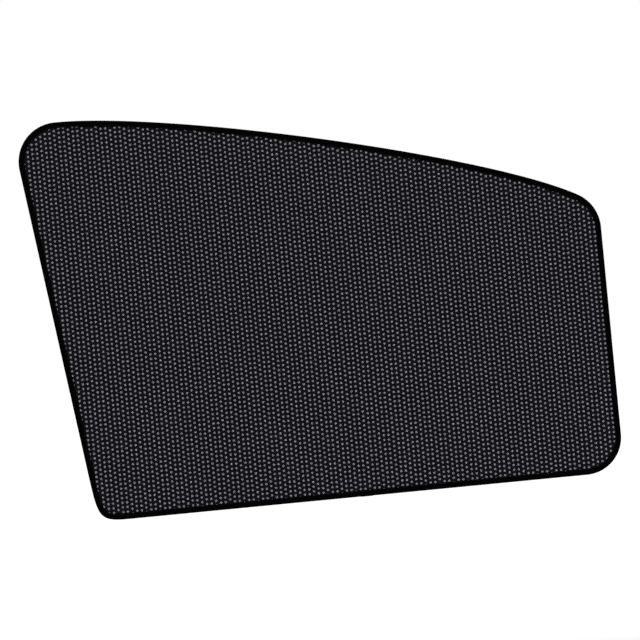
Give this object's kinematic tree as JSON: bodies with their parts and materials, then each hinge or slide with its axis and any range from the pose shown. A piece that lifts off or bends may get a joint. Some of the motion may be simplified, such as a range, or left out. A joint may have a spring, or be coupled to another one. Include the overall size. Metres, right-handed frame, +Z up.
{
  "type": "car side window sunshade",
  "caption": "Side-window sunshade: dark open mesh stretched in a sprung wire frame, bound all round by a folded tape, with bar magnets hidden behind its edge.",
  "frame": {"origin": "centre of the shade's bounding box, with the middle plane of the mesh at Y = 0", "axes": "+Z up as the shade stands in the window, +X towards the front of the car along the level bottom edge, +Y out towards the window, so the face seen in the cabin looks along -Y"},
  "size_m": [0.6868, 0.0044, 0.4812],
  "materials": {
    "mesh_fabric": "matt near-black warp knit with a regular pattern of small round holes",
    "binding_tape": "matt black ribbed binding tape",
    "spring_steel": "drawn spring wire, satin",
    "crimp_metal": "satin, crimped",
    "plated_magnet": "bright nickel plate"
  },
  "bodies": {
    "root": {"mesh_panel": "mesh_fabric", "edge_binding": "binding_tape", "frame_wire": "spring_steel", "wire_sleeve": "crimp_metal", "magnet_top_front": "plated_magnet", "magnet_top_middle": "plated_magnet", "magnet_top_back": "plated_magnet", "magnet_back_upper": "plated_magnet", "magnet_back_lower": "plated_magnet", "magnet_front": "plated_magnet", "magnet_bottom_front": "plated_magnet", "magnet_bottom_back": "plated_magnet"}
  },
  "joints": []
}
